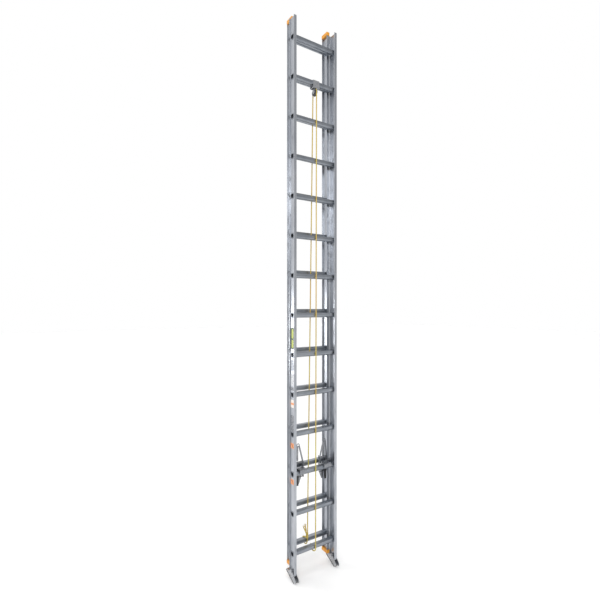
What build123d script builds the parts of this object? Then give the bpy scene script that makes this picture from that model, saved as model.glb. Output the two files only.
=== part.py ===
from build123d import *
import math
import os

os.makedirs("parts", exist_ok=True)

# Extension ladder with two sections of equal length, drawn closed and upright.
# Millimetres. X runs across the ladder, Y from the base section to the fly, Z up from the floor.

# sections
rung_count = 14
rung_pitch = 304.8
rail_overhang = 152.4       # rail past its first and last rung
base_width = 410.0          # over the base section's rails
fly_inset = 23.0            # each fly rail stands this far inside its base rail
section_gap = 2.0           # between the two sections' flanges
fly_lift = 30.0             # fly rungs above base rungs when the locks are seated

# rails, an I section with its web nearer the outside
rail_depth = 69.0
flange_width = 24.0
flange_outer = 8.4          # flange outside the web
flange_wall = 3.0
web_wall = 2.6
root_radius = 2.0           # fillets between web and flanges
tip_radius = 1.0            # rounding of the flange tips

# rungs, a D section with the flat on top
rung_depth = 38.0
rung_top = 18.0             # flat tread above the rung's centre
rung_wall = 2.2
tread_corner = 4.0
collar_proud = 3.5
collar_thick = 2.4

# plastic end caps of the fly rails
cap_grip = 22.0
cap_end = 9.0
cap_wall = 1.4

# steel guides that keep the sections together
guide_wall = 2.5
guide_clear = 1.5
guide_height = 60.0
guide_above_rail = 5.0
lower_guide_height = 46.0

# swivelling shoes
shoe_tilt = 26.0
shoe_forward = 63.5         # bolt to the centre of the round toe, along the tread
shoe_back = 57.5            # bolt to the heel
shoe_wall = 3.2
shoe_side_clear = 0.6
shoe_bolt_radius = 4.8
shoe_pivot_up = 23.0        # bolt above the rail's end
shoe_pivot_to_tread = 46.0
shoe_toe_radius = 17.0
ear_top_radius = 15.0
pad_thick = 9.0
bolt_head_radius = 8.5
bolt_head = 5.0
pin_clear = 0.05

# rung locks, placed from the base rung that they hook over
lock_rung = 12              # counted from the top
lock_inner_x = 78.0
lock_outer_x = 154.0
lock_wall = 3.0
lock_side_clear = 3.0
lock_front_gap = 5.0        # from the base rungs back to the side plates
lock_rear_gap = 3.0         # from the side plates back to the fly rungs
lock_pin_up = 64.0
lock_pin_radius = 4.0
lock_hub_radius = 8.0
hook_seat_clear = 1.0
hook_height = 11.5
hook_reach = 2.5            # between the rung's front and the hook's lip
hook_lip = 10.5
hook_drop = 28.0
nose_x = 116.0              # guiding nose under the lock's back plate
nose_down = 112.0
back_down = 34.0            # back plate's straight part, below the rung's centre
leg_width = 13.0
leg_thick = 3.0
apex_x = 126.0              # eye at the top of the two legs
apex_up = 202.0
eye_radius = 11.0
eye_wire = 3.2
tongue_x = 135.0
tongue_down = 46.0
tongue_length = 66.0
tongue_width = 18.0
tongue_pin_radius = 3.0
spring_radius = 6.0
spring_wire = 1.1
spring_turns = 12
spring_length = 110.0

# halyard pulley, hung from the second rung
pulley_rung = 2             # counted from the top
pulley_x = 11.0
pulley_drop = 65.0
clamp_half_width = 30.0
clamp_wall = 3.0
clamp_leg = 38.0            # clamp legs below the rung's centre
sheave_rim = 3.0            # past the middle of the rope
sheave_half_width = 7.0
axle_radius = 4.0
cheek_gap = 1.5
cheek_wall = 2.5
cheek_half_depth = 12.0
groove_clear = 0.9
clamp_bolt_radius = 4.0

# halyard
rope_radius = 4.75
rope_gap = 6.0              # from the rungs to the middle of either strand
tail_gap = 10.0             # from the lowest base rung back to the halyard's tail
knot_gap = 9.5              # from the lowest fly rung forward to the middle of the knot

# worked out from the sizes above
half_depth = rail_depth / 2
half_width = base_width / 2
fly_y = rail_depth + section_gap
fly_half_width = half_width - fly_inset
rail_length = (rung_count - 1) * rung_pitch + 2 * rail_overhang
shoe_slope = math.radians(shoe_tilt)
shoe_drop = shoe_forward * math.sin(shoe_slope) + (shoe_pivot_to_tread + pad_thick) * math.cos(shoe_slope)
base_bottom = shoe_drop - shoe_pivot_up         # so that the shoes' toes touch the floor
first_rung_z = base_bottom + rail_overhang
base_top = base_bottom + rail_length
web_out = flange_outer
web_in = flange_outer + web_wall
lock_z = first_rung_z + (rung_count - lock_rung) * rung_pitch
pulley_rung_z = first_rung_z + (rung_count - pulley_rung) * rung_pitch
sheave_z = pulley_rung_z - pulley_drop
fly_first_rung_z = first_rung_z + fly_lift
rope_y = rung_depth / 2 + rope_gap
sheave_radius = rope_y + sheave_rim
lock_front_y = rung_depth / 2 + lock_front_gap
lock_rear_y = fly_y - rung_depth / 2 - lock_rear_gap
lock_middle_y = (lock_front_y + lock_rear_y) / 2
lock_pin_y = lock_middle_y + 1.5
tongue_y = lock_middle_y - 7.5
leg_y = lock_middle_y - 5.5


def save(name, shape):
    """Write one node."""
    shape.label = name
    export_step(shape, f"parts/{name}.step")


def both_sides(name, right):
    """Write a right-hand node and its mirror image."""
    save(f"{name}_right", right)
    save(f"{name}_left", mirror(right, about=Plane.YZ))


def block(x0, x1, y0, y1, z0, z1):
    """A box between two corners."""
    middle = Pos((x0 + x1) / 2, (y0 + y1) / 2, (z0 + z1) / 2)
    return middle * Box(x1 - x0, y1 - y0, z1 - z0)


def rod_x(radius, x0, x1, y, z):
    """A round bar along X."""
    return Pos((x0 + x1) / 2, y, z) * Rot(0, 90, 0) * Cylinder(radius, x1 - x0)


def rod_y(radius, y0, y1, x, z):
    """A round bar along Y."""
    return Pos(x, (y0 + y1) / 2, z) * Rot(90, 0, 0) * Cylinder(radius, y1 - y0)


def plate_x(points, x0, x1):
    """A flat plate square to X, from its outline in Y and Z."""
    outline = make_face(Polyline(*points, close=True))
    return Pos(x0, 0, 0) * extrude(Plane.YZ * outline, x1 - x0)


def bar(start, end, width, thick):
    """A straight flat bar between two points, its width along Y where it stands upright."""
    run = Vector(*end) - Vector(*start)
    depth = Vector(0, 1, 0)
    across = depth.cross(run)
    return extrude(Plane(origin=start, x_dir=across, z_dir=run) * Rectangle(thick, width), run.length)


def rung_outline(grow=0.0):
    """The rung's D section, grown outwards all round."""
    half = rung_depth / 2 + grow
    top = rung_top + grow
    sides = Polyline((-half, 0), (-half, top), (half, top), (half, 0))
    belly = ThreePointArc((half, 0), (0, -half), (-half, 0))
    face = make_face([sides, belly])
    return fillet(face.vertices().sort_by(Axis.Y)[-2:], tread_corner + grow)


def rung_prism(x0, x1, grow=0.0):
    """The D section run along X, centred on the rung's line."""
    return Pos(x0, 0, 0) * extrude(Plane.YZ * rung_outline(grow), x1 - x0)


def rung(half_over_rails):
    """A hollow rung, swaged into the webs of both rails."""
    outside = half_over_rails - web_out
    inside = half_over_rails - web_in
    body = rung_prism(-outside - collar_thick, outside + collar_thick)
    for side in (-1, 1):
        outer = sorted((side * outside, side * (outside + collar_thick)))
        inner = sorted((side * inside, side * (inside - collar_thick)))
        body += rung_prism(*outer, collar_proud)
        body += rung_prism(*inner, collar_proud)
    bore = rung_prism(-half_over_rails, half_over_rails, -rung_wall)
    return body - bore


def rail_outline():
    """A rail's I section, with its outer side at X 0."""
    wall = half_depth - flange_wall
    upper = [(0, half_depth), (-flange_width, half_depth), (-flange_width, wall), (-web_in, wall)]
    lower = [(-web_in, -wall), (-flange_width, -wall), (-flange_width, -half_depth), (0, -half_depth)]
    outside = [(0, -wall), (-web_out, -wall), (-web_out, wall), (0, wall)]
    face = make_face(Polyline(*upper, *lower, *outside, close=True))
    roots = [v for v in face.vertices() if -web_in - 0.1 < v.X < -web_out + 0.1]
    face = fillet(roots, root_radius)
    tips = [v for v in face.vertices() if v.X > -0.1 or v.X < -flange_width + 0.1]
    return fillet(tips, tip_radius)


def rail_section(half_over_rails, y, z0, z1):
    """The right-hand rail's I section between two heights."""
    return Pos(half_over_rails, y, z0) * extrude(rail_outline(), z1 - z0)


def rail(half_over_rails, y, bottom, first_z):
    """A right-hand rail with its row of rung holes."""
    body = rail_section(half_over_rails, y, bottom, bottom + rail_length)
    hole = rung_prism(half_over_rails - flange_width, half_over_rails)
    for number in range(rung_count):
        body -= Pos(0, y, first_z + number * rung_pitch) * hole
    return body


def end_cap(end_z, upwards):
    """A moulded plug over the end of a fly rail."""
    low, high = (end_z - cap_grip, end_z + cap_end) if upwards else (end_z - cap_end, end_z + cap_grip)
    outer = block(
        fly_half_width - flange_width - cap_wall, fly_half_width + cap_wall,
        fly_y - half_depth - cap_wall, fly_y + half_depth + cap_wall, low, high)
    edge = outer.faces().sort_by(Axis.Z)[-1 if upwards else 0].edges()
    outer = fillet(edge, cap_end * 0.75)
    kept = (low, end_z) if upwards else (end_z, high)
    return outer - rail_section(fly_half_width, fly_y, *kept)


def upper_guide():
    """Base section's bracket, whose lip runs behind the fly rail's front flange."""
    y0 = half_depth
    fly_flange_rear = y0 + section_gap + flange_wall
    stand = fly_half_width + guide_clear
    lip_front = fly_flange_rear + guide_clear
    z0, z1 = base_top + guide_above_rail - guide_height, base_top + guide_above_rail
    foot = block(stand, half_width, y0, y0 + guide_wall, z0, z1)
    wall = block(stand, stand + guide_wall, y0, lip_front + guide_wall, z0, z1)
    lip = block(stand - flange_outer, stand + guide_wall, lip_front, lip_front + guide_wall, z0, z1)
    return foot + wall + lip


def lower_guide():
    """Fly section's bracket, whose lip runs in front of the base rail's rear flange."""
    y1 = fly_y - half_depth
    base_flange_tip = half_width - flange_width
    stand = base_flange_tip - guide_clear
    lip_rear = half_depth - flange_wall - guide_clear
    z0 = lock_z + rung_top - lower_guide_height / 2
    z1 = z0 + lower_guide_height
    inner = fly_half_width - flange_width
    foot = block(inner, stand, y1 - guide_wall, y1, z0, z1)
    wall = block(stand - guide_wall, stand, lip_rear - guide_wall, y1, z0, z1)
    lip = block(stand - guide_wall, stand + flange_outer, lip_rear - guide_wall, lip_rear, z0, z1)
    return foot + wall + lip


shoe_pivot_z = base_bottom + shoe_pivot_up
ear_out = half_width + shoe_side_clear
ear_in = half_width - flange_width - shoe_side_clear


def tilted_shoe(shape):
    """Turn a level shoe piece about its bolt to the angle it is left at."""
    return Pos(0, 0, shoe_pivot_z) * Rot(shoe_tilt, 0, 0) * shape


def shoe_ear(x0, x1):
    """One ear of a shoe, with a round top at the bolt and a round toe."""
    toe_y, low = -shoe_forward, -shoe_pivot_to_tread
    toe_z = low + shoe_toe_radius
    body = plate_x([
        (toe_y, low), (shoe_back, low), (shoe_back, low + shoe_wall * 2),
        (ear_top_radius * 1.7, low / 2),
        (ear_top_radius * 0.8, ear_top_radius * 0.6), (-ear_top_radius * 0.8, ear_top_radius * 0.6),
        (toe_y - shoe_toe_radius * 0.7, toe_z + shoe_toe_radius * 0.7)], x0, x1)
    body += rod_x(ear_top_radius, x0, x1, 0, 0)
    body += rod_x(shoe_toe_radius, x0, x1, toe_y, toe_z)
    return body - rod_x(shoe_bolt_radius + pin_clear, x0, x1, 0, 0)


def shoe():
    """A U-shaped shoe whose ears straddle the rail's end."""
    low = -shoe_pivot_to_tread
    outer, inner = ear_out + shoe_wall, ear_in - shoe_wall
    tread = block(inner, outer, -shoe_forward, shoe_back, low, low + shoe_wall)
    return tilted_shoe(tread + shoe_ear(ear_out, outer) + shoe_ear(inner, ear_in))


def shoe_pad():
    """The rubber tread under a shoe, cut across by grooves."""
    low = -shoe_pivot_to_tread
    pad = block(ear_in - shoe_wall, ear_out + shoe_wall, -shoe_forward, shoe_back, low - pad_thick, low)
    groove_width = pad_thick / 3
    grooves = 6
    for number in range(1, grooves + 1):
        y = -shoe_forward + number * (shoe_back + shoe_forward) / (grooves + 1)
        pad -= block(ear_in - shoe_wall, ear_out + shoe_wall, y, y + groove_width,
                     low - pad_thick, low - pad_thick * 0.6)
    return tilted_shoe(pad)


def headed_rod(radius, head_radius, head, x0, x1, y, z):
    """A bolt or pin along X with a head at each end, outside x0 and x1."""
    body = rod_x(radius, x0 - head, x1 + head, y, z)
    body += rod_x(head_radius, x0 - head, x0, y, z)
    return body + rod_x(head_radius, x1, x1 + head, y, z)


def shoe_bolt():
    """The bolt through a shoe's ears and the rail's web."""
    return headed_rod(shoe_bolt_radius, bolt_head_radius, bolt_head,
                      ear_in - shoe_wall - shoe_side_clear, ear_out + shoe_wall + shoe_side_clear,
                      0, shoe_pivot_z)


def lock_plate(x0, x1):
    """One side plate of a lock frame."""
    top, low = lock_pin_up + lock_hub_radius * 2.2, -tongue_down - tongue_pin_radius * 2.5
    chamfer = lock_hub_radius
    return plate_x([
        (lock_front_y, lock_pin_up), (lock_front_y + chamfer, top), (lock_rear_y - chamfer / 2, top),
        (lock_rear_y, top - chamfer), (lock_rear_y, -back_down), (tongue_y + chamfer, low),
        (tongue_y, low), (lock_front_y, -tongue_down)], x0, x1)


def lock_back():
    """The plate across a lock's back, which narrows to a guiding nose."""
    outline = make_face(Polyline(
        (lock_inner_x, -lock_wall), (lock_outer_x, -lock_wall), (lock_outer_x, -back_down),
        (nose_x + leg_width, -back_down * 1.6), (nose_x + leg_width / 2, -nose_down),
        (nose_x - leg_width / 2, -nose_down), (lock_inner_x, -back_down), close=True))
    outline = fillet(outline.vertices().sort_by(Axis.Y)[:2], leg_width * 0.35)
    return Pos(0, lock_rear_y, 0) * extrude(Plane.XZ * outline, lock_wall)


def lock_legs():
    """Two flat legs from the side plates to the eye that the spring hangs from."""
    legs = Part()
    for foot_x in (lock_inner_x + leg_width / 2, lock_outer_x - leg_width / 2):
        lean = math.copysign(eye_radius, foot_x - apex_x)
        foot = (foot_x, leg_y, lock_pin_up + lock_hub_radius * 1.4)
        legs += bar(foot, (apex_x + lean, leg_y, apex_up - eye_radius), leg_thick, leg_width)
        legs += rod_y(leg_width / 2, leg_y - leg_thick / 2, leg_y + leg_thick / 2,
                      apex_x + lean, apex_up - eye_radius)
    legs += Pos(apex_x, leg_y, apex_up) * Rot(90, 0, 0) * Torus(eye_radius, eye_wire)
    return legs


def lock_frame():
    """The lock's fixed frame: two plates, a back, two legs and a tab on the fly rail."""
    body = lock_plate(lock_inner_x, lock_inner_x + lock_wall)
    body += lock_plate(lock_outer_x - lock_wall, lock_outer_x)
    body += lock_back() + lock_legs()
    flange_rear = fly_y - half_depth + flange_wall
    tab_end = fly_half_width - web_in - root_radius - lock_wall
    body += block(lock_outer_x - lock_wall, tab_end, flange_rear, flange_rear + lock_wall,
                  -back_down, lock_pin_up - lock_hub_radius * 1.5)
    body -= rod_x(lock_pin_radius, lock_inner_x, lock_outer_x, lock_pin_y, lock_pin_up)
    body -= rod_x(tongue_pin_radius, lock_inner_x, lock_outer_x, tongue_y, -tongue_down)
    return Pos(0, 0, lock_z) * body


hook_x0 = lock_inner_x + lock_wall + lock_side_clear
hook_x1 = lock_outer_x - lock_wall - lock_side_clear


def lock_hook():
    """The sprung hook, a channel that lies over the base rung with a lip in front."""
    seat = rung_top + hook_seat_clear
    top = seat + hook_height
    lip_rear = -rung_depth / 2 - hook_reach
    lip_front = lip_rear - hook_lip
    rung_rear = rung_depth / 2 + hook_reach
    side = [
        (lip_front, top - hook_lip / 2), (lip_front + hook_lip / 2, top), (rung_rear, top),
        (lock_pin_y - lock_hub_radius, lock_pin_up), (lock_pin_y + lock_hub_radius, lock_pin_up),
        (rung_rear + hook_lip, seat + hook_lip / 2), (rung_rear, seat), (lip_rear, seat),
        (lip_rear, top - hook_drop), (lip_rear - hook_lip / 2, top - hook_drop - hook_lip),
        (lip_front, top - hook_drop)]
    body = plate_x(side, hook_x0, hook_x0 + lock_wall) + plate_x(side, hook_x1 - lock_wall, hook_x1)
    body += block(hook_x0, hook_x1, lip_front + hook_lip / 2, rung_rear, top - lock_wall, top)
    body += block(hook_x0, hook_x1, lip_front, lip_front + lock_wall, top - hook_drop, top - hook_lip / 2)
    body += plate_x([
        (lip_front, top - hook_lip / 2), (lip_front + hook_lip / 2, top),
        (lip_front + hook_lip / 2, top - lock_wall), (lip_front + lock_wall, top - hook_lip / 2)],
        hook_x0, hook_x1)
    body += rod_x(lock_hub_radius, hook_x0, hook_x1, lock_pin_y, lock_pin_up)
    body -= rod_x(lock_pin_radius + pin_clear, hook_x0, hook_x1, lock_pin_y, lock_pin_up)
    return Pos(0, 0, lock_z) * body


def lock_tongue():
    """The black tongue that hangs from its own pin behind the base rung."""
    x0, x1 = tongue_x - tongue_width / 2, tongue_x + tongue_width / 2
    hub = tongue_pin_radius * 2
    body = plate_x([
        (tongue_y - hub, -tongue_down), (tongue_y - hub * 1.3, -tongue_down + hub * 2),
        (tongue_y, -tongue_down + hub * 0.6), (tongue_y + hub * 1.3, -tongue_down + hub * 2),
        (tongue_y + hub, -tongue_down), (tongue_y + hub / 2, -tongue_down - tongue_length),
        (tongue_y - hub / 2, -tongue_down - tongue_length)], x0, x1)
    body += rod_x(hub, x0, x1, tongue_y, -tongue_down)
    body -= rod_x(tongue_pin_radius + pin_clear, x0, x1, tongue_y, -tongue_down)
    return Pos(0, 0, lock_z) * body


def lock_spring():
    """The coil that holds the hook down, hung from the frame's eye."""
    low = Vector(apex_x, leg_y + leg_thick / 2 + spring_radius + 2 * spring_wire,
                 lock_z + lock_pin_up + 1.5 * lock_hub_radius)
    place = Plane(origin=low, x_dir=(1, 0, 0), z_dir=(0, 0, 1))
    coil = Helix(spring_length / spring_turns, spring_length, spring_radius)
    wire = sweep(Plane(origin=coil @ 0, z_dir=coil % 0) * Circle(spring_wire), coil, is_frenet=True)
    return place * wire


def lock_fasteners():
    """A lock's two pins."""
    pins = headed_rod(lock_pin_radius, lock_hub_radius - lock_wall / 2, lock_wall,
                      lock_inner_x, lock_outer_x, lock_pin_y, lock_pin_up)
    pins += headed_rod(tongue_pin_radius, tongue_pin_radius * 2, lock_wall / 2,
                       lock_inner_x, lock_outer_x, tongue_y, -tongue_down)
    return Pos(0, 0, lock_z) * pins


def pulley_clamp():
    """The bracket that straddles the second rung, with the sheave's two cheeks."""
    half = rung_depth / 2
    x0, x1 = pulley_x - clamp_half_width, pulley_x + clamp_half_width
    body = block(x0, x1, -half - clamp_wall, half + clamp_wall, rung_top, rung_top + clamp_wall)
    for side in (-1, 1):
        y = sorted((side * half, side * (half + clamp_wall)))
        body += block(x0, x1, *y, -clamp_leg, rung_top)
    body += block(x0, x1, -half, half, -half - clamp_wall, -half)
    cheek_in = sheave_half_width + cheek_gap
    for side in (-1, 1):
        x = sorted((pulley_x + side * cheek_in, pulley_x + side * (cheek_in + cheek_wall)))
        body += block(*x, -cheek_half_depth, cheek_half_depth, -pulley_drop, -half - clamp_wall)
        body += rod_x(cheek_half_depth, *x, 0, -pulley_drop)
    body -= rod_x(axle_radius, x0, x1, 0, -pulley_drop)
    body -= rod_y(clamp_bolt_radius, -half - clamp_wall, half + clamp_wall, *clamp_bolt_place())
    return Pos(0, 0, pulley_rung_z) * body


def clamp_bolt_place():
    """X and height of the clamp's bolt, beside the sheave and below the rung."""
    cheek_out = sheave_half_width + cheek_gap + cheek_wall
    return pulley_x - (clamp_half_width + cheek_out) / 2, -(rung_depth / 2 + clamp_wall + clamp_leg) / 2


def pulley_pins():
    """The sheave's axle and the clamp's bolt."""
    cheek_out = sheave_half_width + cheek_gap + cheek_wall
    axle = headed_rod(axle_radius, axle_radius * 1.8, cheek_wall,
                      pulley_x - cheek_out, pulley_x + cheek_out, 0, -pulley_drop)
    x, z = clamp_bolt_place()
    face = rung_depth / 2 + clamp_wall
    bolt = rod_y(clamp_bolt_radius, -face - bolt_head, face + bolt_head, x, z)
    bolt += rod_y(axle_radius * 1.8, -face - bolt_head, -face, x, z)
    bolt += rod_y(axle_radius * 1.8, face, face + bolt_head, x, z)
    return Pos(0, 0, pulley_rung_z) * (axle + bolt)


def pulley_sheave():
    """The grooved wheel, with its groove cut to the rope."""
    half = sheave_half_width
    wheel = rod_x(sheave_radius, pulley_x - half, pulley_x + half, 0, sheave_z)
    ring = Pos(pulley_x, 0, sheave_z) * Rot(0, 90, 0) * Torus(rope_y, rope_radius + groove_clear)
    bore = rod_x(axle_radius + pin_clear, pulley_x - half, pulley_x + half, 0, sheave_z)
    return wheel - ring - bore


def turn_radii(points):
    """A cord's bend at each corner: 0.45 of the shorter run, over tan(half turn)."""
    radii = []
    for before, corner, after in zip(points, points[1:], points[2:]):
        into, out = Vector(*corner) - Vector(*before), Vector(*after) - Vector(*corner)
        turn = math.radians(into.get_angle(out))
        radii.append(0.45 * min(into.length, out.length) / math.tan(turn / 2))
    return radii


def cord(points, radius):
    """A round cord along straight runs joined by tangent arcs."""
    radii = turn_radii(points)
    print("cord bends, mm:", [round(r, 1) for r in radii])
    path = FilletPolyline(*points, radius=radii)
    start = Plane(origin=path @ 0, z_dir=path % 0)
    return sweep(start * Circle(radius), path)


# the halyard: tied under the lowest base rung, over the sheave, down to the lowest fly rung
tie_z = first_rung_z
tail_y = rung_depth / 2 + tail_gap
front_route = [
    (-9.0, tail_y, tie_z + 10.0),
    (-7.0, tail_y, tie_z - 33.0),
    (1.0, -rope_y, tie_z - 33.0),
    (pulley_x, -rope_y, sheave_z + rope_y),
    (pulley_x, rope_y, sheave_z + rope_y),
    (pulley_x, rope_y, sheave_z - rope_y),
]
knot_x = -34.0
knot_y = fly_y - rung_depth / 2 - knot_gap
knot_z = fly_first_rung_z + 44.0
knot_half = 11.0
knot_low = 26.0


def rope_rear():
    """The strand between the sections, from the sheave to the knot."""
    start, end = front_route[-1], (knot_x, knot_y - knot_half / 2, knot_z + knot_low + 0.4)
    run = Vector(*end) - Vector(*start)
    return extrude(Plane(origin=start, z_dir=run) * Circle(rope_radius), run.length)


def knot_loop():
    """The rope's turn round the lowest fly rung, from the knot and back."""
    away = rung_depth / 2 + rope_radius + 4
    low, high = fly_first_rung_z - away - 3, fly_first_rung_z + rung_top + rope_radius + 6.5
    x = knot_x
    return [
        (x - 4, knot_y, high), (x - 7, fly_y + away, high), (x - 1, fly_y + away, low),
        (x + 4, fly_y - away - 1, low), (x + 3, knot_y, knot_z - 6)]


def fly_knot():
    """The knot in front of the lowest fly rung, its turn and its two loose ends."""
    lump = Pos(knot_x, knot_y, knot_z) * Cylinder(knot_half, knot_low * 2)
    lump = fillet(lump.edges().filter_by(GeomType.CIRCLE), knot_half * 0.6)
    lump = Part() + lump
    lump += cord(knot_loop(), rope_radius)
    for lean in (-18.0, -34.0):
        foot = (knot_x - 5, knot_y + 3, knot_z + knot_low / 2)
        tip = (knot_x + lean, knot_y + 3 + lean / 6, knot_z + 92.0 + lean / 2)
        run = Vector(*tip) - Vector(*foot)
        lump += extrude(Plane(origin=foot, z_dir=run) * Circle(rope_radius * 0.9), run.length)
    return lump


def base_knot():
    """The stopper knot behind the lowest base rung, round the halyard's tail."""
    lump = Cylinder(rope_radius * 1.7, 24.0, align=(Align.CENTER, Align.CENTER, Align.MAX))
    lump = fillet(lump.edges().filter_by(GeomType.CIRCLE), rope_radius * 0.9)
    return Pos(*front_route[0]) * lump


# rails and rungs
both_sides("base_rail", rail(half_width, 0, base_bottom, first_rung_z)
           - rod_x(shoe_bolt_radius, ear_in, ear_out, 0, shoe_pivot_z))
both_sides("fly_rail", rail(fly_half_width, fly_y, base_bottom + fly_lift, fly_first_rung_z))
base_rung, fly_rung = rung(half_width), rung(fly_half_width)
for number in range(rung_count):
    height = number * rung_pitch
    save(f"base_rung_{number + 1:02d}", Pos(0, 0, first_rung_z + height) * base_rung)
    save(f"fly_rung_{number + 1:02d}", Pos(0, fly_y, fly_first_rung_z + height) * fly_rung)

# ends, guides and shoes
fly_bottom, fly_top = base_bottom + fly_lift, base_top + fly_lift
both_sides("fly_top_cap", end_cap(fly_top, True))
both_sides("fly_bottom_cap", end_cap(fly_bottom, False))
both_sides("base_guide", upper_guide())
both_sides("fly_guide", lower_guide())
both_sides("shoe", shoe())
both_sides("shoe_pad", shoe_pad())
base_bolts = shoe_bolt()
save("base_fasteners", Part() + base_bolts + mirror(base_bolts, about=Plane.YZ))

# rung locks
both_sides("lock_frame", lock_frame())
both_sides("lock_hook", lock_hook())
both_sides("lock_tongue", lock_tongue())
spring = lock_spring()
save("lock_springs", Part() + spring + mirror(spring, about=Plane.YZ))
lock_bolts = lock_fasteners()
save("fly_fasteners", Part() + lock_bolts + mirror(lock_bolts, about=Plane.YZ))

# pulley and halyard
save("pulley_clamp", pulley_clamp())
save("pulley_pins", pulley_pins())
save("pulley_sheave", pulley_sheave())
save("rope_front", cord(front_route, rope_radius))
save("rope_rear", rope_rear())
save("rope_knot_fly", fly_knot())
save("rope_knot_base", base_knot())
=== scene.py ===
"""Looks for the closed two-section extension ladder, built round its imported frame."""

import math

import bmesh
import bpy
from mathutils import Matrix, Vector


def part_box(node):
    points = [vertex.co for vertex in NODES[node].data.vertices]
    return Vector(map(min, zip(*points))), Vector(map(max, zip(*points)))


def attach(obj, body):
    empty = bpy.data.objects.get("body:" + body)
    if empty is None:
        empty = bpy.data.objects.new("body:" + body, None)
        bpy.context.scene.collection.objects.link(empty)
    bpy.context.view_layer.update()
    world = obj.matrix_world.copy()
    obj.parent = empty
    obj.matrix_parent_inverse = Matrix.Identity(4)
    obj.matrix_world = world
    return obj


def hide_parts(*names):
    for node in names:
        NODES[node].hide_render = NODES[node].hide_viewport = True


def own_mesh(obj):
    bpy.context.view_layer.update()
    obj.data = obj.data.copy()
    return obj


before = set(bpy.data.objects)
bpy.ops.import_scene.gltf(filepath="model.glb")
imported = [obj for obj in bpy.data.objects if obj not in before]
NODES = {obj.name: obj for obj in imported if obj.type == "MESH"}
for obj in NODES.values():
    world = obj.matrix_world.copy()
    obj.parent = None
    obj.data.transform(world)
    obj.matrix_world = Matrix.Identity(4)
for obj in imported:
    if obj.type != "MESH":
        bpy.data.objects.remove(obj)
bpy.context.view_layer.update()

SIDES = (-1, 1)             # left, right
RUNG_PITCH = 0.3048
ROPE_RADIUS = 0.00475
ROPE_OFF = 0.025            # from the sheave's axle to the rope's line
FIBRE_RADIUS = 0.0012       # of a frayed end's fibres
ROPE_LAY = 0.034            # length of one full twist


def centre(node):
    """The middle of a CAD node's box."""
    low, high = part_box(node)
    return (low + high) / 2


# places taken from the frame; a rung's line is half a millimetre above its box's middle
BASE_RUNG = centre("base_rung_01") + Vector((0, 0, 0.0005))
FLY_RUNG = centre("fly_rung_01") + Vector((0, 0, 0.0005))
LOCK_Z = BASE_RUNG.z + 2 * RUNG_PITCH
SHEAVE = centre("pulley_sheave")
SHOE_BOLT_Z = centre("base_fasteners").z
RAIL_LOW, RAIL_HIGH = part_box("base_rail_left")
WEB_X = RAIL_LOW.x + 0.0084         # outer face of the left rail's web
KNOT = Vector((-0.034, FLY_RUNG.y - 0.0285, FLY_RUNG.z + 0.044))


# ---------------------------------------------------------------- camera, stage and light

def make_camera():
    """Level camera at the photograph's place, at the ladder's front left."""
    yaw, focal, sensor = math.radians(33.0), 25.05, 36.0
    distance, aside, height = 3.165, 0.0455, 1.885
    along = Vector((math.sin(yaw), math.cos(yaw), 0))
    right = Vector((math.cos(yaw), -math.sin(yaw), 0))
    rail_edge = Vector((RAIL_LOW.x, RAIL_LOW.y, 0))
    place = rail_edge - along * distance + right * aside
    place.z = BASE_RUNG.z + height
    data = bpy.data.cameras.new("camera")
    data.lens, data.sensor_width, data.shift_y = focal, sensor, 0.0133
    camera = bpy.data.objects.new("camera", data)
    camera.location = place
    camera.rotation_euler = (math.pi / 2, 0, -yaw)
    bpy.context.scene.collection.objects.link(camera)
    bpy.context.scene.camera = camera


def area_light(name, place, aim, size, watts, tint=(1, 1, 1)):
    """A soft square light aimed at a point."""
    data = bpy.data.lights.new(name, "AREA")
    data.shape, data.size, data.energy, data.color = "SQUARE", size, watts, tint
    light = bpy.data.objects.new(name, data)
    light.location = place
    light.rotation_euler = (Vector(aim) - Vector(place)).to_track_quat("-Z", "Y").to_euler()
    bpy.context.scene.collection.objects.link(light)


def make_world():
    """A white backdrop, whose light on the ladder falls off to grey towards -Y and overhead."""
    world = bpy.data.worlds.new("studio")
    world.use_nodes = True
    tree = world.node_tree
    parts = tree.nodes.new("ShaderNodeSeparateXYZ")
    tree.links.new(tree.nodes.new("ShaderNodeTexCoord").outputs["Generated"], parts.inputs[0])
    tones = []
    for axis, low, high, dark in (("Y", -0.5, 0.25, 0.55), ("Z", 0.97, 0.62, 0.6)):
        ramp = tree.nodes.new("ShaderNodeMapRange")
        tree.links.new(parts.outputs[axis], ramp.inputs[0])
        for index, number in enumerate((low, high, dark, 1.0), start=1):
            ramp.inputs[index].default_value = number
        tones.append(ramp.outputs[0])
    both = tree.nodes.new("ShaderNodeMath")
    both.operation = "MULTIPLY"
    for index, tone in enumerate(tones):
        tree.links.new(tone, both.inputs[index])
    shown = tree.nodes.new("ShaderNodeMix")
    shown.data_type = "RGBA"
    shown.inputs[7].default_value = (1, 1, 1, 1)
    tree.links.new(tree.nodes.new("ShaderNodeLightPath").outputs["Is Camera Ray"], shown.inputs[0])
    tree.links.new(both.outputs[0], shown.inputs[6])
    tree.links.new(shown.outputs[2], tree.nodes["Background"].inputs["Color"])
    bpy.context.scene.world = world


def make_floor():
    """Pale seamless floor."""
    half = 40.0
    mesh = bpy.data.meshes.new("floor")
    mesh.from_pydata([(-half, -half, 0), (half, -half, 0), (half, half, 0), (-half, half, 0)],
                     [], [(0, 1, 2, 3)])
    floor = bpy.data.objects.new("floor", mesh)
    bpy.context.scene.collection.objects.link(floor)
    paint = Paint("floor_paint")
    paint.finish(paint.mix(paint.noise(3.0, 2.0), (0.94, 0.94, 0.94), (0.97, 0.97, 0.97)), 0.9)
    mesh.materials.append(paint.material)


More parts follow.
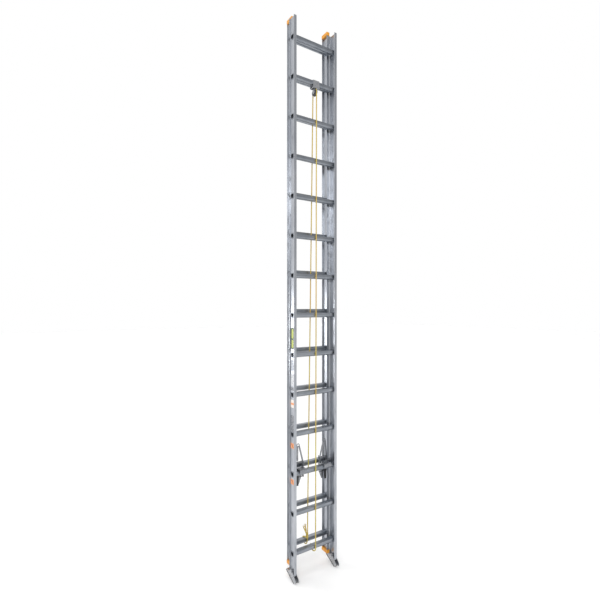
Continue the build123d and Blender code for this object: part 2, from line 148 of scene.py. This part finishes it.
def make_stage():
    """Floor, surroundings and soft lights."""
    bpy.context.scene.view_settings.view_transform = "Standard"
    make_world()
    make_floor()
    sky = bpy.data.lights.new("overhead", "SUN")
    sky.energy, sky.angle = 1.25, math.radians(70)
    overhead = bpy.data.objects.new("overhead", sky)
    overhead.rotation_euler = (math.radians(18), math.radians(-14), 0)
    bpy.context.scene.collection.objects.link(overhead)
    for height, watts in ((1.95, 9), (1.35, 9)):
        area_light(f"kicker_{height}", (-1.9, 2.7, height), (-0.2, 0, height), 0.35, watts)
    area_light("key", (-2.6, -3.4, 4.0), (0, 0, 3.1), 1.6, 60)


# ---------------------------------------------------------------- materials

class Paint:
    """One procedural material, built from short calls."""

    def __init__(self, name):
        self.material = bpy.data.materials.new(name)
        self.material.use_nodes = True
        self.tree = self.material.node_tree
        self.shader = self.tree.nodes["Principled BSDF"]
        self.place = self.add("ShaderNodeTexCoord").outputs["Object"]
        self.heights = []

    def add(self, kind, **values):
        node = self.tree.nodes.new(kind)
        for key, value in values.items():
            setattr(node, key, value)
        return node

    def feed(self, socket, value):
        """Join a socket to another, or set it to a number or colour."""
        if isinstance(value, bpy.types.NodeSocket):
            self.tree.links.new(value, socket)
        elif isinstance(value, (int, float)) or len(value) == len(socket.default_value):
            socket.default_value = value
        else:
            socket.default_value = (*value, 1)

    def math(self, what, a, b=0.0, clamp=False):
        node = self.add("ShaderNodeMath", operation=what, use_clamp=clamp)
        self.feed(node.inputs[0], a)
        self.feed(node.inputs[1], b)
        return node.outputs[0]

    def stretch(self, scale):
        """Object coordinates scaled by axis."""
        node = self.add("ShaderNodeMapping")
        self.feed(node.inputs["Vector"], self.place)
        self.feed(node.inputs["Scale"], scale)
        return node.outputs[0]

    def noise(self, scale, detail=3.0, by_axis=(1, 1, 1)):
        node = self.add("ShaderNodeTexNoise")
        self.feed(node.inputs["Vector"], self.stretch(by_axis))
        self.feed(node.inputs["Scale"], scale)
        self.feed(node.inputs["Detail"], detail)
        return node.outputs["Fac"]

    def cells(self, scale):
        node = self.add("ShaderNodeTexVoronoi")
        self.feed(node.inputs["Vector"], self.place)
        self.feed(node.inputs["Scale"], scale)
        return node.outputs["Color"]

    def axis(self, name):
        """One coordinate of the place, in metres."""
        node = self.add("ShaderNodeSeparateXYZ")
        self.feed(node.inputs[0], self.place)
        return node.outputs[name]

    def facing(self, name):
        """One part of the surface's direction."""
        node = self.add("ShaderNodeSeparateXYZ")
        self.feed(node.inputs[0], self.add("ShaderNodeNewGeometry").outputs["Normal"])
        return node.outputs[name]

    def ramp(self, value, low, high, to_low=0.0, to_high=1.0):
        """A value spread from one range to another, clamped."""
        node = self.add("ShaderNodeMapRange")
        for index, number in enumerate((value, low, high, to_low, to_high)):
            self.feed(node.inputs[index], number)
        return node.outputs[0]

    def mix(self, factor, a, b):
        node = self.add("ShaderNodeMix", data_type="RGBA")
        for index, value in ((0, factor), (6, a), (7, b)):
            self.feed(node.inputs[index], value)
        return node.outputs[2]

    def relief(self, height, depth, strength=0.5):
        """Add a bump of that depth in metres, on top of the ones before."""
        self.heights.append((height, depth, strength))

    def finish(self, colour, roughness, metal=0.0, specular=0.5, sheen=0.0):
        self.feed(self.shader.inputs["Base Color"], colour)
        self.feed(self.shader.inputs["Roughness"], roughness)
        self.shader.inputs["Metallic"].default_value = metal
        self.shader.inputs["Specular IOR Level"].default_value = specular
        self.shader.inputs["Sheen Weight"].default_value = sheen
        normal = None
        for height, depth, strength in self.heights:
            bump = self.add("ShaderNodeBump")
            self.feed(bump.inputs["Height"], height)
            bump.inputs["Distance"].default_value = depth
            bump.inputs["Strength"].default_value = strength
            if normal:
                self.feed(bump.inputs["Normal"], normal)
            normal = bump.outputs["Normal"]
        if normal:
            self.feed(self.shader.inputs["Normal"], normal)
        return self.material


def extruded_aluminium(name, outer_x):
    """Mill-finish rail: drawn lines along Z, dull patches, and a painted highlight along the flange
    edges.
    """
    paint = Paint(name)
    lines = paint.noise(1.0, 2.0, (520, 520, 2.5))
    patches = paint.noise(5.0, 4.0, (1, 1, 0.5))
    scuffs = paint.ramp(paint.noise(38.0, 6.0, (1, 1, 0.35)), 0.56, 0.70)
    from_side = paint.math("SUBTRACT", outer_x, paint.math("ABSOLUTE", paint.axis("X")))
    # painted highlight mask: narrow strips along both edges of the flanges, for the whole length of the
    # rail
    painted_edge_highlight = paint.math("ADD", paint.ramp(from_side, 0.0016, 0.0),
                      paint.ramp(from_side, 0.0224, 0.024))
    tone = paint.math("ADD", paint.math("MULTIPLY", lines, 0.55),
                      paint.math("MULTIPLY", patches, 0.45))
    colour = paint.mix(paint.ramp(tone, 0.34, 0.66), (0.325, 0.345, 0.38), (0.545, 0.565, 0.60))
    colour = paint.mix(paint.math("MULTIPLY", scuffs, 0.35), colour, (0.24, 0.245, 0.26))
    # painted highlight: the flange edges are mixed towards bright grey
    colour = paint.mix(paint.math("MULTIPLY", painted_edge_highlight, 0.35), colour, (0.66, 0.68, 0.71))
    rough = paint.math("ADD", paint.ramp(tone, 0.3, 0.7, 0.40, 0.27),
                       paint.math("MULTIPLY", scuffs, 0.18))
    paint.relief(lines, 0.00012, 0.5)
    paint.relief(paint.noise(60.0, 4.0), 0.0003, 0.15)
    return paint.finish(colour, rough, metal=1.0)


def drawn_rung(name):
    """Drawn rung tube: lines along X, serrated tread, and a painted highlight on its upward faces
    towards the middle.
    """
    paint = Paint(name)
    lines = paint.noise(1.0, 2.0, (3, 420, 420))
    patches = paint.noise(9.0, 3.0)
    up = paint.ramp(paint.facing("Z"), 0.85, 0.97)
    wave = paint.add("ShaderNodeTexWave", wave_type="BANDS", bands_direction="Y", wave_profile="SAW")
    paint.feed(wave.inputs["Vector"], paint.place)
    paint.feed(wave.inputs["Scale"], 105.0)
    serration = paint.math("MULTIPLY", wave.outputs["Fac"], up)
    # painted highlight mask: upward faces, fading out towards the rung's ends
    painted_top_highlight = paint.math("MULTIPLY", up, paint.ramp(paint.math("ABSOLUTE", paint.axis("X")), 0.14, 0.05))
    tone = paint.math("ADD", paint.math("MULTIPLY", lines, 0.6), paint.math("MULTIPLY", patches, 0.4))
    colour = paint.mix(paint.ramp(tone, 0.34, 0.66), (0.20, 0.22, 0.25), (0.375, 0.395, 0.43))
    # painted highlight: the upward faces are mixed towards a lighter grey
    colour = paint.mix(paint.math("MULTIPLY", painted_top_highlight, 0.4), colour, (0.46, 0.48, 0.51))
    rough = paint.ramp(tone, 0.3, 0.7, 0.46, 0.32)
    paint.relief(serration, 0.0006, 0.7)
    paint.relief(lines, 0.0001, 0.4)
    return paint.finish(colour, rough, metal=1.0)


def zinc_steel(name, dark, light):
    """Zinc-plated steel with a faint spangle and handling marks."""
    paint = Paint(name)
    grain = paint.add("ShaderNodeSeparateColor")
    paint.feed(grain.inputs[0], paint.cells(330.0))
    marks = paint.ramp(paint.noise(70.0, 6.0), 0.55, 0.72)
    tone = paint.math("ADD", paint.math("MULTIPLY", grain.outputs[0], 0.5),
                      paint.math("MULTIPLY", paint.noise(30.0, 4.0), 0.5))
    colour = paint.mix(paint.ramp(tone, 0.2, 0.8), dark, light)
    colour = paint.mix(paint.math("MULTIPLY", marks, 0.5), colour, tuple(0.55 * c for c in dark))
    paint.relief(paint.noise(260.0, 3.0), 0.0002, 0.25)
    return paint.finish(colour, paint.ramp(tone, 0.2, 0.8, 0.48, 0.32), metal=1.0)


def moulded_plastic(name, dark, light, rough, grain=900.0):
    """Moulded plastic with a fine grain and slight fading."""
    paint = Paint(name)
    fade = paint.ramp(paint.noise(24.0, 4.0), 0.35, 0.68)
    scratch = paint.ramp(paint.noise(160.0, 4.0, (1, 1, 0.2)), 0.60, 0.72)
    colour = paint.mix(fade, dark, light)
    scratched = tuple(min(1, c * 1.3 + 0.04) for c in light)
    colour = paint.mix(paint.math("MULTIPLY", scratch, 0.25), colour, scratched)
    paint.relief(paint.noise(grain, 2.0), 0.00015, 0.4)
    return paint.finish(colour, paint.ramp(fade, 0, 1, rough, rough + 0.12))


def shoe_rubber(name):
    """Black rubber, dusty on its raised parts."""
    paint = Paint(name)
    dust = paint.ramp(paint.noise(48.0, 5.0), 0.48, 0.70)
    colour = paint.mix(dust, (0.018, 0.018, 0.019), (0.075, 0.072, 0.068))
    paint.relief(paint.noise(420.0, 3.0), 0.0003, 0.5)
    return paint.finish(colour, paint.ramp(dust, 0, 1, 0.72, 0.92), specular=0.3)


def rope_fibre(name):
    """Laid polypropylene: yellow, with duller and more orange stretches, and painted shade between the
    strands.
    """
    paint = Paint(name)
    crest = paint.add("ShaderNodeAttribute", attribute_name="crest").outputs["Fac"]
    fibres = paint.noise(1400.0, 3.0)
    stretch = paint.ramp(paint.noise(1.6, 2.0), 0.40, 0.60)
    colour = paint.mix(stretch, (0.56, 0.49, 0.045), (0.66, 0.36, 0.05))
    colour = paint.mix(paint.ramp(fibres, 0.35, 0.70), colour, (0.72, 0.58, 0.16))
    # painted shade: the valleys between the strands, where crest is low, are mixed towards dark brown
    colour = paint.mix(paint.ramp(crest, 0.55, 0.0, 0.0, 0.75), colour, (0.24, 0.14, 0.02))
    paint.relief(fibres, 0.0004, 0.5)
    return paint.finish(colour, 0.62, sheen=0.25)


def sticker(name, colour, rough=0.42):
    """Printed vinyl, slightly mottled."""
    paint = Paint(name)
    tone = paint.ramp(paint.noise(120.0, 3.0), 0.3, 0.7)
    mixed = paint.mix(tone, tuple(c * 0.88 for c in colour), colour)
    paint.relief(paint.noise(500.0, 2.0), 0.0001, 0.2)
    return paint.finish(mixed, rough)


def printed(name, ground, ink, pitch):
    """A printed label: rows of broken marks that stand for small print, and are none."""
    paint = Paint(name)
    row = paint.math("FRACT", paint.math("MULTIPLY", paint.axis("Z"), 1 / pitch))
    rows = paint.ramp(paint.math("ABSOLUTE", paint.math("SUBTRACT", row, 0.5)), 0.20, 0.28)
    broken = paint.ramp(paint.noise(1.0, 2.0, (1, 260, 1 / pitch)), 0.42, 0.50)
    colour = paint.mix(paint.math("MULTIPLY", rows, broken), ground, ink)
    paint.relief(paint.noise(500.0, 2.0), 0.0001, 0.2)
    return paint.finish(colour, 0.4)


def make_paints():
    """Every material that more than one node or piece shares."""
    return {
        "base_rail": extruded_aluminium("base_rail_metal", RAIL_HIGH.x * -1 + 0.024),
        "fly_rail": extruded_aluminium("fly_rail_metal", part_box("fly_rail_right")[1].x),
        "rung": drawn_rung("rung_metal"),
        "cap": moulded_plastic("cap_plastic", (0.68, 0.26, 0.02), (0.82, 0.37, 0.04), 0.40),
        "tongue": moulded_plastic("tongue_plastic", (0.008, 0.008, 0.009), (0.024, 0.024, 0.026), 0.38),
        "sheave": moulded_plastic("sheave_plastic", (0.020, 0.020, 0.022), (0.050, 0.050, 0.054), 0.34),
        "pad": shoe_rubber("pad_rubber"),
        "lock": zinc_steel("lock_metal", (0.20, 0.21, 0.23), (0.38, 0.39, 0.41)),
        "steel": zinc_steel("plated_metal", (0.34, 0.35, 0.37), (0.55, 0.56, 0.58)),
        "pin": zinc_steel("pin_metal", (0.06, 0.06, 0.065), (0.14, 0.14, 0.15)),
        "rope": rope_fibre("rope_fibre"),
    }


def dress_nodes(paints):
    """Give every CAD node its material."""
    for name, node in NODES.items():
        known = [key for key in ("base_rail", "fly_rail", "rung", "cap", "tongue", "sheave", "pad",
                                 "lock", "rope") if key in name]
        node.data.materials.clear()
        node.data.materials.append(paints[known[0] if known else "steel"])


# ---------------------------------------------------------------- building pieces

def tube(build, points, radius, sides=10, strands=0):
    """A round tube along points, or a laid rope whose strands show as winding lobes."""
    crest_layer = build.verts.layers.float.get("crest") or build.verts.layers.float.new("crest")
    heading = (points[1] - points[0]).normalized()
    side = heading.orthogonal().normalized()
    travelled, rings = 0.0, []
    for index, point in enumerate(points):
        ahead = (points[min(index + 1, len(points) - 1)] - points[max(index - 1, 0)]).normalized()
        side = (heading.rotation_difference(ahead) @ side).normalized()
        heading = ahead
        up = heading.cross(side)
        if index:
            travelled += (point - points[index - 1]).length
        twist = 2 * math.pi * travelled / ROPE_LAY if strands else 0.0
        ring = []
        for corner in range(sides):
            angle = 2 * math.pi * corner / sides
            crest = abs(math.cos(strands * angle / 2))
            reach = radius * (0.80 + 0.20 * crest) if strands else radius
            spoke = side * math.cos(angle + twist) + up * math.sin(angle + twist)
            vert = build.verts.new(point + spoke * reach)
            vert[crest_layer] = crest
            ring.append(vert)
        rings.append(ring)
    for before, after in zip(rings, rings[1:]):
        for corner in range(sides):
            other = (corner + 1) % sides
            build.faces.new((before[corner], before[other], after[other], after[corner]))
    build.faces.new(reversed(rings[0]))
    build.faces.new(rings[-1])


def turned(build, place, profile, sides=28):
    """A solid of revolution about the place's Z, from its (radius, height) profile."""
    rings = []
    for radius, height in profile:
        rings.append([build.verts.new(place @ Vector((
            radius * math.cos(2 * math.pi * n / sides), radius * math.sin(2 * math.pi * n / sides),
            height))) for n in range(sides)])
    for before, after in zip(rings, rings[1:]):
        for n in range(sides):
            other = (n + 1) % sides
            build.faces.new((before[n], before[other], after[other], after[n]))
    build.faces.new(reversed(rings[0]))
    build.faces.new(rings[-1])


def along_axis(origin, direction):
    """A place at origin whose Z points along direction."""
    return Matrix.Translation(origin) @ Vector(direction).to_track_quat("Z", "Y").to_matrix().to_4x4()


def dome(radius, height):
    """Profile of a rivet or pin head standing on height 0."""
    steps = [math.pi / 2 * n / 5 for n in range(5)]
    curve = [(radius * math.cos(a), height * (0.25 + 0.75 * math.sin(a))) for a in steps]
    return [(radius, 0)] + curve + [(radius * 0.12, height)]


def hexagon(build, place, radius, low, high):
    """A hexagon head or nut with its chamfered upper edge."""
    turned(build, place, [(radius, low), (radius, high - 0.0008), (radius * 0.90, high)], sides=6)


def washer(build, place, radius, low, high):
    """A flat washer with its upper edge eased."""
    turned(build, place, [(radius, low), (radius, high - 0.0002), (radius - 0.0003, high)])


def add_piece(name, build, body, paint):
    """Turn a bmesh into a piece that rides on a body."""
    bmesh.ops.recalc_face_normals(build, faces=build.faces)
    mesh = bpy.data.meshes.new(name)
    build.to_mesh(mesh)
    build.free()
    mesh.materials.append(paint)
    for face in mesh.polygons:
        face.use_smooth = True
    mesh.set_sharp_from_angle(angle=math.radians(38))
    piece = bpy.data.objects.new(name, mesh)
    bpy.context.scene.collection.objects.link(piece)
    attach(piece, body)
    return piece


# ---------------------------------------------------------------- halyard

def along_route(route, spacing):
    """Even points along the smooth spline that has the route's points as its control points."""
    curve = bpy.data.curves.new("route", "CURVE")
    curve.dimensions = "3D"
    curve.resolution_u = 24
    spline = curve.splines.new("NURBS")
    spline.points.add(len(route) - 1)
    for point, place in zip(spline.points, route):
        point.co = (*place, 1)
    spline.order_u = 3
    spline.use_endpoint_u = True
    holder = bpy.data.objects.new("route", curve)
    line = bpy.data.meshes.new_from_object(holder)
    coarse = [v.co.copy() for v in line.vertices]
    bpy.data.objects.remove(holder)
    bpy.data.curves.remove(curve)
    bpy.data.meshes.remove(line)
    points = [coarse[0]]
    for a, b in zip(coarse, coarse[1:]):
        steps = max(1, round((b - a).length / spacing))
        points += [a.lerp(b, n / steps) for n in range(1, steps + 1)]
    return points


def coil(middle, radius, low, high, turns):
    """Points of a coil about Z."""
    count = 20 * turns
    return [Vector((middle.x + radius * math.cos(2 * math.pi * n / 20),
                    middle.y + radius * math.sin(2 * math.pi * n / 20),
                    low + (high - low) * n / count)) for n in range(count + 1)]


def rope_piece(name, runs, body, paint):
    """One piece of laid rope from several runs of points, each with its radius."""
    build = bmesh.new()
    for points, radius in runs:
        tube(build, points, radius, sides=12, strands=3)
    return add_piece(name, build, body, paint)


def front_strand(paint):
    """From the sheave's rear, over it, down the front and up behind the lowest base rung."""
    tie, off = BASE_RUNG.z, ROPE_OFF
    low = tie - 0.033
    route = [
        (SHEAVE.x, off, SHEAVE.z - off), (SHEAVE.x, off, SHEAVE.z + off),
        (SHEAVE.x, -off, SHEAVE.z + off), (SHEAVE.x - 0.0002, -off, SHEAVE.z - 0.032),
        (0.0012, -off, low + 0.057), (0.001, -off, low), (-0.007, 0.029, low),
        (-0.009, 0.029, tie + 0.010)]
    points = along_route([Vector(p) for p in route], 0.003)
    rope = rope_piece("halyard_front", [(points, ROPE_RADIUS)], "base", paint)
    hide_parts("rope_front")
    end = points[-1]
    knot = coil(end, 0.0040, end.z - 0.0205, end.z - 0.0035, 3)
    stopper = rope_piece("halyard_stopper", [(knot, 0.0040)], "base", paint)
    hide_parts("rope_knot_base")


def rear_strand(paint, knot):
    """From the sheave down between the sections to the fly section's knot."""
    start = Vector((SHEAVE.x, ROPE_OFF, SHEAVE.z - ROPE_OFF))
    end = Vector((KNOT.x, KNOT.y - 0.0055, KNOT.z + 0.0264))
    points = along_route([start, start.lerp(end, 0.5), end], 0.003)
    rope = rope_piece("halyard_rear", [(points, ROPE_RADIUS)], "base", paint)
    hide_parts("rope_rear")
    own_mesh(rope)


def frayed_tail(foot, tip):
    """A loose rope end from foot to tip, and the fibres that spread from it, as runs."""
    bend = foot.lerp(tip, 0.5) + Vector((0.003, -0.001, 0))
    runs = [(along_route([foot, bend, tip], 0.004), ROPE_RADIUS)]
    for n in range(9):
        out = Vector((math.cos(2.4 * n), math.sin(2.4 * n), 0)) * 0.0026
        up = Vector((0, 0, 0.006 + 0.0011 * (n % 4)))
        runs.append(([tip + out * 0.5 - Vector((0, 0, 0.004)), tip + out, tip + out * 2.2 + up,
                      tip + out * 2.8 + up * 1.8], FIBRE_RADIUS))
    return runs


def fly_knot(paint):
    """The rope's turn round the lowest fly rung, its wound knot and two frayed tails."""
    away, x = 0.0278, KNOT.x
    low, high = FLY_RUNG.z - away - 0.003, FLY_RUNG.z + 0.0293
    loop = along_route([Vector(p) for p in (
        (x - 0.004, KNOT.y, high), (x - 0.007, FLY_RUNG.y + away, high),
        (x - 0.001, FLY_RUNG.y + away, low), (x + 0.004, FLY_RUNG.y - away - 0.001, low),
        (x + 0.003, KNOT.y, KNOT.z - 0.006))], 0.003)
    wound = coil(KNOT, 0.0062, KNOT.z - 0.021, KNOT.z + 0.021, 5)
    top = Vector((x, KNOT.y - 0.0055, KNOT.z + 0.0264))
    core = along_route([KNOT + Vector((0, 0, -0.022)), KNOT, top], 0.004)
    runs = [(loop, ROPE_RADIUS), (wound, 0.0046), (core, ROPE_RADIUS)]
    foot = KNOT + Vector((-0.005, 0.003, 0.013))
    for lean in (-0.018, -0.034):
        tip = KNOT + Vector((lean, 0.003 + lean / 6, 0.092 + lean / 2))
        runs += frayed_tail(foot, tip)
    knot = rope_piece("halyard_fly_knot", runs, "fly", paint)
    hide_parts("rope_knot_fly")
    return knot


# ---------------------------------------------------------------- fasteners and springs

def shoe_bolts(paint):
    """Hexagon bolt, washers and locking nut through each shoe."""
    build = bmesh.new()
    for side in SIDES:
        place = along_axis((0, 0, SHOE_BOLT_Z), (side, 0, 0))
        turned(build, place, [(0.0044, 0.1685), (0.0048, 0.1693), (0.0048, 0.2110)])
        washer(build, place, 0.0100, 0.2094, 0.2106)
        hexagon(build, place, 0.0085, 0.2106, 0.2150)
        back = along_axis((0, 0, SHOE_BOLT_Z), (-side, 0, 0))
        washer(build, back, 0.0100, -0.1766, -0.1754)
        hexagon(build, back, 0.0085, -0.1754, -0.1700)
    bolts = add_piece("shoe_bolts", build, "base", paint)
    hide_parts("base_fasteners")


def lock_pins(paint):
    """Domed pins that the hooks and tongues turn on."""
    build = bmesh.new()
    hook_pin = (0.038, 0.064, 0.004, 0.0065, 0.003)
    tongue_pin = (0.029, -0.046, 0.003, 0.0058, 0.0016)
    for side in SIDES:
        for y, up, radius, head, thick in (hook_pin, tongue_pin):
            for end, direction in ((0.154, side), (-0.078, -side)):
                place = along_axis((0, y, LOCK_Z + up), (direction, 0, 0))
                turned(build, place @ Matrix.Translation((0, 0, end)), dome(head, thick))
            place = along_axis((0, y, LOCK_Z + up), (side, 0, 0))
            turned(build, place, [(radius, 0.0785), (radius, 0.1535)])
    pins = add_piece("lock_pins", build, "fly", paint)
    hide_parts("fly_fasteners")


def lock_springs(paint):
    """Extension springs with hooked ends, from each lock's hook up to its eye."""
    build = bmesh.new()
    for side in SIDES:
        middle = Vector((side * 0.126, 0.0407, 0))
        low, high = LOCK_Z + 0.078, LOCK_Z + 0.184
        body = coil(middle, 0.0060, low, high, 26)
        top = [Vector((middle.x, 0.0407, high + 0.002)), Vector((middle.x, 0.036, high + 0.007)),
               Vector((middle.x, 0.031, high + 0.012)), Vector((middle.x, 0.0265, high + 0.007))]
        foot = [Vector((middle.x, 0.038, LOCK_Z + 0.0725)), Vector((middle.x, 0.0407, LOCK_Z + 0.075))]
        tube(build, foot + body + top, 0.0011, sides=8)
    springs = add_piece("lock_spring_coils", build, "fly", paint)
    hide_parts("lock_springs")


def pulley_bolts(paint):
    """The sheave's peened axle and the clamp's bolt and nut."""
    build = bmesh.new()
    rung_z = SHEAVE.z + 0.065
    place = along_axis((SHEAVE.x, 0, SHEAVE.z), (1, 0, 0))
    turned(build, place, [(0.004, -0.0115), (0.004, 0.0115)])
    for direction in (1, -1):
        head = along_axis((SHEAVE.x + direction * 0.011, 0, SHEAVE.z), (direction, 0, 0))
        turned(build, head, dome(0.0070, 0.0026))
    bolt = along_axis((SHEAVE.x - 0.0205, 0, rung_z - 0.030), (0, -1, 0))
    turned(build, bolt, [(0.0036, -0.0265), (0.004, -0.0258), (0.004, 0.023)])
    washer(build, bolt, 0.0085, 0.0220, 0.0230)
    hexagon(build, bolt, 0.0072, 0.0230, 0.0272)
    back = along_axis((SHEAVE.x - 0.0205, 0, rung_z - 0.030), (0, 1, 0))
    washer(build, back, 0.0085, 0.0220, 0.0230)
    hexagon(build, back, 0.0072, 0.0230, 0.0262)
    bolts = add_piece("pulley_bolts", build, "base", paint)
    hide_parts("pulley_pins")


def guide_rivets(paint):
    """Domed rivets that hold the guides and the locks' tabs to the rails."""
    base, fly = bmesh.new(), bmesh.new()
    upper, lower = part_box("base_guide_right"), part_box("fly_guide_right")
    guide_head, tab_head = dome(0.0042, 0.0020), dome(0.0038, 0.0018)
    for side in SIDES:
        for share in (0.18, 0.5, 0.82):
            z = upper[0].z + share * (upper[1].z - upper[0].z)
            turned(base, along_axis((side * 0.1955, 0.0370, z), (0, 1, 0)), guide_head)
        for share in (0.25, 0.75):
            z = lower[0].z + share * (lower[1].z - lower[0].z)
            turned(fly, along_axis((side * 0.1700, 0.0340, z), (0, -1, 0)), guide_head)
        for up in (-0.022, 0.010, 0.040):
            z = LOCK_Z + up
            turned(fly, along_axis((side * 0.1625, 0.0365, z), (0, -1, 0)), tab_head)
            turned(fly, along_axis((side * 0.1600, 0.0425, z), (0, 1, 0)), tab_head)
    add_piece("base_guide_rivets", base, "base", paint)
    add_piece("fly_guide_rivets", fly, "fly", paint)


# ---------------------------------------------------------------- stickers

def sticker_piece(name, low, high, half, paint, layer=0, middle=0.0, slant=0.0):
    """A thin round-cornered sticker on the left rail's web, at heights above the first rung."""
    build = bmesh.new()
    corner, steps = min(0.003, (high - low) / 3, half / 2), 5
    outline = []
    for quarter, (y, z) in enumerate(((half, high), (-half, high), (-half, low), (half, low))):
        inner = (y - math.copysign(corner, y), z - corner if z == high else z + corner)
        for n in range(steps + 1):
            angle = math.pi / 2 * (quarter + n / steps)
            outline.append((inner[0] + corner * math.cos(angle),
                            inner[1] + corner * math.sin(angle)))
    faces = []
    for x in (WEB_X - 0.00005, WEB_X - 0.00025 - 0.0001 * layer):
        faces.append([
            build.verts.new((x, middle + y + slant * (z - (low + high) / 2), BASE_RUNG.z + z))
            for y, z in outline])
    count = len(outline)
    for n in range(count):
        other = (n + 1) % count
        build.faces.new((faces[0][n], faces[0][other], faces[1][other], faces[1][n]))
    build.faces.new(faces[0])
    build.faces.new(reversed(faces[1]))
    add_piece(name, build, "base", paint)


def make_stickers():
    """Stickers where the rail carries its labels, with no words or signs on them."""
    dark = sticker("label_dark_green", (0.030, 0.065, 0.020))
    yellow = sticker("label_yellow_green", (0.46, 0.52, 0.06))
    white = printed("label_white", (0.78, 0.79, 0.80), (0.16, 0.18, 0.22), 0.009)
    grey = printed("label_dark", (0.06, 0.07, 0.09), (0.45, 0.46, 0.48), 0.010)
    small = printed("label_small", (0.62, 0.64, 0.68), (0.10, 0.14, 0.24), 0.012)
    orange = sticker("label_orange", (0.86, 0.34, 0.14))
    pale = sticker("label_pale", (0.84, 0.76, 0.70))
    brown = sticker("label_brown", (0.16, 0.06, 0.03))
    sticker_piece("label_band", 1.571, 1.732, 0.026, dark)
    for number, (low, high) in enumerate(((1.580, 1.640), (1.652, 1.722))):
        sticker_piece(f"label_band_{number}", low, high, 0.012, yellow, 1)
    sticker_piece("label_small_a", 1.402, 1.487, 0.018, small)
    sticker_piece("label_white_a", 1.290, 1.378, 0.026, white)
    sticker_piece("label_small_b", 1.252, 1.278, 0.024, grey)
    sticker_piece("label_pale_a", 1.120, 1.180, 0.026, pale)
    sticker_piece("label_pale_b", 1.142, 1.158, 0.022, orange, 1)
    sticker_piece("label_dark_a", 0.938, 1.060, 0.026, grey)
    for number, low in enumerate((0.808, 0.532)):
        sticker_piece(f"label_orange_{number}", low, low + 0.040, 0.025, orange)
        sticker_piece(f"label_slash_{number}", low + 0.006, low + 0.034, 0.004, brown, 1, slant=0.8)


make_camera()
make_stage()
paints = make_paints()
dress_nodes(paints)
front_strand(paints["rope"])
rear_strand(paints["rope"], fly_knot(paints["rope"]))
shoe_bolts(paints["steel"])
lock_pins(paints["pin"])
lock_springs(paints["steel"])
pulley_bolts(paints["steel"])
guide_rivets(paints["steel"])
make_stickers()
